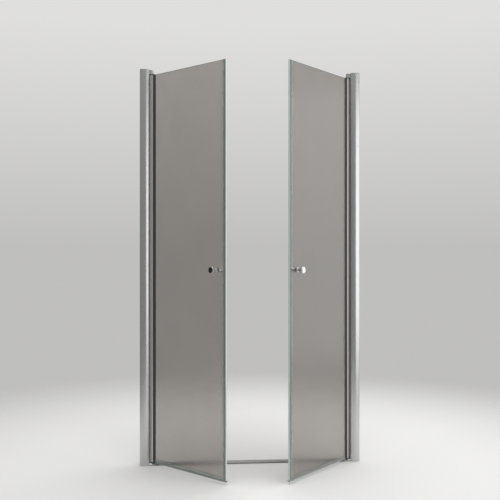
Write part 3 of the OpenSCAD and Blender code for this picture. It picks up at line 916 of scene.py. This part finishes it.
def drawn_metal(name, dark, light, bareness, roughness, lines):
    """Anodised metal with fine lines along its length. Bareness is 1 for bare metal, and lines
    gives one line's size on each axis."""
    nodes = board(name)
    line = nodes.noise(lines)
    cloud = nodes.noise((0.06, 0.06, 0.25))
    smear = nodes.noise((0.012, 0.012, 0.03), detail=5)
    return nodes.surface(
        Base_Color=nodes.between(0.65 * line + 0.35 * cloud, dark, light),
        Metallic=bareness,
        Roughness=roughness + 0.1 * (line - 0.5) + 0.08 * (smear - 0.5),
        Normal=nodes.bump(line, 0.004 * MM))


def chrome(name, dark, light, roughness):
    """Mirror-bright plating with faint wiping marks and a slow ripple."""
    nodes = board(name)
    wipe = nodes.noise((0.004, 0.0008, 0.004), detail=6)
    ripple = nodes.noise(evenly(0.01), detail=1)
    return nodes.surface(
        Base_Color=nodes.between(wipe, dark, light),
        Metallic=1,
        Roughness=roughness + 0.06 * wipe ** 3,
        Normal=nodes.bump(ripple, 0.02 * MM))


def cast_metal(name, dark, light, roughness):
    """Plated casting with a soft unevenness under the plating."""
    nodes = board(name)
    uneven = nodes.noise(evenly(0.003), detail=2)
    spot = nodes.noise(evenly(0.0007), detail=4)
    return nodes.surface(
        Base_Color=nodes.between(uneven, dark, light),
        Metallic=0.85,
        Roughness=roughness + 0.15 * (spot - 0.5),
        Normal=nodes.bump(uneven, 0.03 * MM))


def turned_steel(name, dark, light):
    """Plain steel with fine rings left by turning."""
    nodes = board(name)
    ring = nodes.noise((0.02, 0.02, 0.0003), detail=4)
    return nodes.surface(
        Base_Color=nodes.between(ring, dark, light),
        Metallic=1,
        Roughness=0.26 + 0.16 * ring,
        Normal=nodes.bump(ring, 0.006 * MM))


def etched_glass(name, dark, light):
    """Satin-etched glass: a fine grain that scatters what lies behind it."""
    nodes = board(name)
    grain = nodes.noise(evenly(0.0012), detail=2)
    cloud = nodes.noise((0.10, 0.10, 0.16), detail=3)
    return nodes.surface(
        Base_Color=nodes.between(cloud, dark, light),
        Roughness=0.20 + 0.05 * (cloud - 0.5),
        IOR=1.5,
        Specular_IOR_Level=0.1,
        Transmission_Weight=0.97,
        Normal=nodes.bump(grain, 0.004 * MM))


def glass_edge(name, dark, light):
    """The ground and polished edge, where the glass shows its own green."""
    nodes = board(name)
    grind = nodes.noise((0.002, 0.002, 0.006), detail=3)
    return nodes.surface(
        Base_Color=nodes.between(grind, dark, light),
        Roughness=0.14 + 0.12 * grind,
        IOR=1.5,
        Transmission_Weight=0.4)


def soft_vinyl(name, dark, light, clearness, roughness, lines, turn=0):
    """Extruded soft plastic with faint lines along its length."""
    nodes = board(name)
    line = nodes.noise(lines, turn)
    haze = nodes.noise((0.015, 0.015, 0.04), detail=4)
    return nodes.surface(
        Base_Color=nodes.between(haze, dark, light),
        Roughness=roughness + 0.12 * (line - 0.5) + 0.08 * (haze - 0.5),
        IOR=1.53,
        Transmission_Weight=clearness,
        Normal=nodes.bump(line, 0.01 * MM))


def leaf_vinyls(name, dark, light, clearness, roughness, lines):
    """One soft plastic for each leaf, with its lines turned as the leaf stands."""
    turns = {"left": -LEAF_OPEN["left"], "right": LEAF_OPEN["right"]}
    return {
        side: soft_vinyl(f"{side}_{name}", dark, light, clearness, roughness, lines, turn)
        for side, turn in turns.items()
    }


def matt_rubber(name, dark, light):
    """Dark rubber with a dry, slightly dusty surface."""
    nodes = board(name)
    grain = nodes.noise((0.0005, 0.0005, 0.002), detail=4)
    dust = nodes.noise((0.02, 0.02, 0.05), detail=5)
    return nodes.surface(
        Base_Color=nodes.between(0.4 * grain + 0.6 * dust, dark, light),
        Roughness=0.62 + 0.2 * (dust - 0.5),
        Normal=nodes.bump(grain, 0.02 * MM))


def moulded(name, dark, light, roughness):
    """Moulded plastic with the fine spark-eroded grain of its tool."""
    nodes = board(name)
    grain = nodes.cells(0.0006)
    tone = nodes.noise(evenly(0.008), detail=3)
    return nodes.surface(
        Base_Color=nodes.between(tone, dark, light),
        Roughness=roughness + 0.15 * grain,
        Normal=nodes.bump(grain, 0.02 * MM))


def foam(name, dark, light):
    """Closed-cell foam tape."""
    nodes = board(name)
    cell = nodes.cells(0.0008)
    return nodes.surface(
        Base_Color=nodes.between(cell, dark, light),
        Roughness=0.75 + 0.15 * cell,
        Normal=nodes.bump(cell, 0.15 * MM))


UPRIGHT_LINES = (0.0009, 0.0009, 0.5)
LEVEL_LINES = (0.5, 0.0009, 0.0009)

JAMB_METAL = drawn_metal(
    "bright_aluminium", (0.50, 0.505, 0.51), (0.60, 0.605, 0.61),
    bareness=0.9, roughness=0.24, lines=UPRIGHT_LINES)
POST_METAL = drawn_metal(
    "post_aluminium", (0.54, 0.54, 0.535), (0.66, 0.66, 0.65),
    bareness=0.7, roughness=0.3, lines=UPRIGHT_LINES)
CHANNEL_METAL = drawn_metal(
    "mill_aluminium", (0.38, 0.38, 0.38), (0.52, 0.52, 0.52),
    bareness=0.9, roughness=0.38, lines=UPRIGHT_LINES)
RAIL_METAL = drawn_metal(
    "satin_aluminium", (0.27, 0.27, 0.265), (0.34, 0.34, 0.335),
    bareness=0.9, roughness=0.34, lines=LEVEL_LINES)
KNOB_CHROME = chrome("knob_chrome", (0.74, 0.75, 0.76), (0.82, 0.83, 0.84), roughness=0.05)
CAP_CHROME = chrome("cap_chrome", (0.60, 0.61, 0.62), (0.70, 0.71, 0.72), roughness=0.14)
ZINC = cast_metal("polished_casting", (0.40, 0.405, 0.41), (0.50, 0.505, 0.51), roughness=0.3)
STEEL = turned_steel("turned_steel", (0.42, 0.42, 0.43), (0.60, 0.60, 0.61))
FROST = etched_glass("etched_glass", (0.42, 0.40, 0.378), (0.48, 0.458, 0.434))
EDGE_GLASS = glass_edge("ground_glass_edge", (0.10, 0.17, 0.155), (0.20, 0.30, 0.27))
RUBBER = matt_rubber("dark_rubber", (0.020, 0.020, 0.019), (0.045, 0.044, 0.042))
BUSH_PLASTIC = moulded(
    "bush_plastic", (0.018, 0.018, 0.018), (0.035, 0.035, 0.034), roughness=0.45)
WHITE_PLASTIC = moulded("white_acetal", (0.66, 0.66, 0.64), (0.74, 0.74, 0.72), roughness=0.38)
MAGNET = moulded(
    "bonded_ferrite", (0.030, 0.029, 0.028), (0.055, 0.053, 0.050), roughness=0.5)
TAPE = foam("bedding_foam", (0.05, 0.05, 0.05), (0.13, 0.13, 0.125))
CLEAR_VINYL = leaf_vinyls(
    "clear_vinyl", (0.88, 0.92, 0.90), (0.94, 0.97, 0.955),
    clearness=0.96, roughness=0.12, lines=UPRIGHT_LINES)
TEAL_VINYL = leaf_vinyls(
    "teal_vinyl", (0.22, 0.29, 0.27), (0.30, 0.38, 0.355),
    clearness=0.55, roughness=0.2, lines=UPRIGHT_LINES)
# The seal's closing face gets this lighter vinyl as a painted highlight.
MILKY_HIGHLIGHT_VINYL = leaf_vinyls(
    "milky_highlight_vinyl", (0.56, 0.59, 0.57), (0.64, 0.67, 0.65),
    clearness=0.1, roughness=0.3, lines=UPRIGHT_LINES)
GREY_VINYL = leaf_vinyls(
    "grey_vinyl", (0.32, 0.35, 0.34), (0.42, 0.45, 0.44),
    clearness=0.35, roughness=0.3, lines=LEVEL_LINES)
WASHER_VINYL = soft_vinyl(
    "washer_vinyl", (0.60, 0.62, 0.62), (0.70, 0.72, 0.72),
    clearness=0.6, roughness=0.2, lines=evenly(0.002))

# ---- building ----


def dressed(masters, side, body, place):
    """Copies each finished shape to one side. A finish with two sides gives that side's own."""
    pieces = {}
    for master, name, node, slot, *finishes in masters:
        own = [finish[side] if isinstance(finish, dict) else finish for finish in finishes]
        piece = settled(twin(master, f"{side}_{name}"), place)
        pieces[node] = fitted(piece, body, f"{side}_{node}", own)
    return pieces


def build_frame():
    """The two jambs with what they hold, and the rail between them."""
    masters = [
        (make_jamb(), "bulged_jamb", "jamb", "polished_aluminium", JAMB_METAL),
        (make_cap(), "jamb_top_cap", "jamb_cap", "polished_aluminium", JAMB_METAL),
        (make_top_block(), "top_bearing_block", "top_pivot_block", "polished_zinc", ZINC),
        (make_bottom_block(), "bottom_bearing_block", "bottom_pivot_block", "polished_zinc", ZINC),
        (make_screw_caps(), "domed_screw_caps", "screw_caps", "chrome_caps", CAP_CHROME),
    ]
    for side in SIDES:
        dressed(masters, side, "frame", on_side(side))
    for master, *_ in masters:
        bpy.data.objects.remove(master)
    fitted(make_rail(), "frame", "threshold_rail", [RAIL_METAL])


def build_leaves():
    """The two glass leaves, each with its post, seals and knobs."""
    top_bush = make_bush(POST_HIGH, POST_HIGH - BUSH_LEN)
    bottom_bush = make_bush(POST_LOW - BUSH_PLATE, POST_LOW - OVERLAP)
    inner_knob = make_knob()
    outer_knob = settled(twin(inner_knob, "outer_knob"), on_glass(-1))
    settled(inner_knob, on_glass(1))
    masters = [
        (make_post(), "pivot_post", "post", "polished_aluminium", POST_METAL),
        (make_gasket(), "glass_gasket", "glazing_gasket", "dark_rubber", RUBBER),
        (make_pane(), "frosted_pane", "glass", "frosted_glass", FROST, EDGE_GLASS),
        (top_bush, "top_post_bush", "top_bush", "dark_plastic", BUSH_PLASTIC),
        (bottom_bush, "bottom_post_bush", "bottom_bush", "dark_plastic", BUSH_PLASTIC),
        (make_edge_seal(), "closing_seal", "edge_seal", "clear_seal",
         CLEAR_VINYL, TEAL_VINYL, MILKY_HIGHLIGHT_VINYL),
        (make_drip_seal(), "drip_seal", "bottom_seal", "grey_seal", GREY_VINYL, CLEAR_VINYL),
        (outer_knob, "outer_pull_knob", "outer_knob", "chrome", KNOB_CHROME),
        (inner_knob, "inner_pull_knob", "inner_knob", "chrome", KNOB_CHROME),
    ]
    for side in SIDES:
        pieces = dressed(masters, side, f"{side}_leaf", on_leaf(side))
        show_ground_edges(pieces["glass"], side)
        show_seal_core(pieces["edge_seal"], side)
        show_clear_legs(pieces["bottom_seal"])
    for master, *_ in masters:
        bpy.data.objects.remove(master)


def show_ground_edges(pane, side):
    """Everything but the two etched faces of a pane shows bare glass."""
    etched, bare = 0, 1
    across = on_leaf(side).to_3x3() @ Vector((0, 1, 0))
    for face in pane.data.polygons:
        face.material_index = etched if abs(face.normal.dot(across)) > FACING else bare


def show_seal_core(seal, side):
    """The legs on the glass are clear, the magnet's chamber teal and the closing face milky,
    round its corners too. The lighter milky closing face is a painted highlight on the face turned
    to the other leaf."""
    clear, teal, milky_highlight = range(3)
    turn = on_leaf(side)
    ahead = turn.to_3x3() @ Vector((1, 0, 0))
    start = turn @ Vector((GLASS_U1, 0, 0))
    for face in seal.data.polygons:
        beyond = (face.center - start).dot(ahead)
        closing = face.normal.dot(ahead) > CLOSING_TURN and beyond > SEAL_CORNER
        face.material_index = milky_highlight if closing else teal if beyond > 0 else clear


def show_clear_legs(seal):
    """The legs that grip the glass are clear, and the lip and tube under it grey."""
    grey, clear = 0, 1
    for face in seal.data.polygons:
        face.material_index = clear if face.center.z > GLASS_LOW else grey


def finish_kept_nodes():
    """Pieces whose construction shape is right keep it, and get their own finish."""
    kept = {
        "wall_channel": CHANNEL_METAL, "jamb_seal": RUBBER, "pivot_pins": STEEL,
        "thrust_washer": WHITE_PLASTIC, "jamb_screws": STEEL, "edge_magnet": MAGNET,
        "knob_stud": STEEL, "knob_washers": WASHER_VINYL,
    }
    nodes = {f"{side}_{name}": finish for side in SIDES for name, finish in kept.items()}
    nodes["threshold_tape"] = TAPE
    for name, finish in nodes.items():
        node = frame["nodes"][name]
        node.data.materials.clear()
        node.data.materials.append(finish)


# ---- studio ----

# Levels of the background from low to high, and of what lights the door from left to right
BACKDROP = (0.52, 0.74)
AMBIENT = (0.4, 1.3)
# Levels that metal mirrors, from low to high, and how much of them a flag at the left leaves
MIRRORED = (0.27, 0.80)
BLACK_FLAG = 0.08
# Spans over which they change: of the upward part of a direction, then of its rightward part
BACKDROP_RISE = (0, 0.3)
MIRRORED_RISE = (0.1, 0.9)
FLAG_EDGE = (-0.985, -0.965)
ALL_ROUND = (-1, 1)
WARM_WHITE = (1, 0.995, 0.985, 1)

FLOOR_R = 5
FLOOR_DROP = 0.5 * MM
FLOOR_FADE = (0.9, 2.6)

CAMERA_PLACE = (-0.2456, -3.279, 0.979)
CAMERA_TURN = math.radians(-4.23)
CAMERA_LENS = 51.4
CAMERA_SENSOR = 36


def light_world():
    """A plain pale surround that lights the door mostly from the right. Metal mirrors a grey
    one with a light top and a black flag at the left."""
    nodes = Board(bpy.data.worlds.new("pale_surround"))
    bpy.context.scene.world = nodes.owner
    camera = nodes.node("ShaderNodeLightPath", output="Is Camera Ray")
    through = nodes.node("ShaderNodeLightPath", output="Is Transmission Ray")
    glossy = nodes.node("ShaderNodeLightPath", output="Is Glossy Ray")
    direction = nodes.node("ShaderNodeTexCoord", output="Generated")
    to_right = nodes.node("ShaderNodeSeparateXYZ", inputs={"Vector": direction}, output="X")
    upward = nodes.node("ShaderNodeSeparateXYZ", inputs={"Vector": direction}, output="Z")
    surround = nodes.graded(upward, MIRRORED_RISE, *MIRRORED)
    flag = nodes.graded(to_right, FLAG_EDGE, BLACK_FLAG, 1)
    ambient = nodes.graded(to_right, ALL_ROUND, *AMBIENT)
    backdrop = nodes.graded(upward, BACKDROP_RISE, *BACKDROP)
    seen = camera.calc("MAXIMUM", camera, through)
    mirrored = glossy * (1 - seen)
    strength = seen * backdrop + mirrored * surround * flag + (1 - seen) * (1 - mirrored) * ambient
    shader = nodes.node("ShaderNodeBackground", inputs={"Color": WARM_WHITE, "Strength": strength})
    nodes.node("ShaderNodeOutputWorld", inputs={"Surface": shader})


def soft_box(name, azimuth, height, distance, width, tall, level):
    """A large soft lamp that faces the door. Azimuth 0 is in front, and 90 to the right. Level
    is its brightness, whatever its size."""
    angle = math.radians(azimuth)
    middle = Vector((0, 0, DOOR_TOP / 2))
    place = Vector((distance * math.sin(angle), -distance * math.cos(angle), height))
    bpy.ops.object.light_add(type="AREA", location=place)
    lamp = bpy.context.object
    lamp.name = name
    lamp.rotation_euler = (middle - place).to_track_quat("-Z", "Y").to_euler()
    lamp.data.shape = "RECTANGLE"
    lamp.data.size = width
    lamp.data.size_y = tall
    lamp.data.energy = level * math.pi * width * tall
    lamp.visible_camera = False
    lamp.visible_transmission = False


def place_lamps():
    """A wide key and a narrow side box at the right, one from behind and one overhead."""
    soft_box("key_window", azimuth=52, height=1.3, distance=9, width=10.2, tall=4.6, level=1.5)
    soft_box("side_box", azimuth=98, height=1.2, distance=4, width=1.4, tall=2.6, level=0.95)
    soft_box("rim_box", azimuth=123, height=1.3, distance=4, width=1.3, tall=2.4, level=2.0)
    soft_box("top_box", azimuth=0, height=3.2, distance=0.7, width=2.0, tall=0.9, level=3.5)


def lay_floor():
    """A pale floor that fades out round the door."""
    bpy.ops.object.select_all(action="DESELECT")
    bpy.ops.mesh.primitive_circle_add(
        vertices=128, radius=FLOOR_R, fill_type="NGON", location=(0, 0, -FLOOR_DROP))
    floor = started("floor")
    nodes = board("pale_floor")
    place = nodes.node("ShaderNodeTexCoord", output="Object")
    reach = nodes.node("ShaderNodeVectorMath", {"operation": "LENGTH"}, {0: place}, "Value")
    fade = nodes.graded(reach, FLOOR_FADE, 0, 1, interpolation_type="SMOOTHSTEP")
    speck = nodes.noise(evenly(0.004), detail=4)
    tone = nodes.between(speck, (0.80, 0.80, 0.79), (0.82, 0.82, 0.81))
    shader = nodes.node("ShaderNodeBsdfPrincipled", inputs={"Base Color": tone, "Roughness": 0.8})
    clear = nodes.node("ShaderNodeBsdfTransparent")
    mixed = nodes.node("ShaderNodeMixShader", inputs={0: fade, 1: shader, 2: clear})
    nodes.node("ShaderNodeOutputMaterial", inputs={"Surface": mixed})
    floor.data.materials.append(nodes.owner)


def set_camera():
    """The photograph's viewpoint: about a metre up, a little left of the middle, level."""
    bpy.ops.object.camera_add(
        location=CAMERA_PLACE, rotation=(math.radians(90), 0, CAMERA_TURN))
    camera = bpy.context.object
    camera.name = "photo_view"
    camera.data.sensor_width = CAMERA_SENSOR
    camera.data.lens = CAMERA_LENS
    bpy.context.scene.camera = camera


build_frame()
build_leaves()
finish_kept_nodes()
lay_floor()
light_world()
place_lamps()
set_camera()
bpy.context.scene.view_settings.view_transform = "Standard"
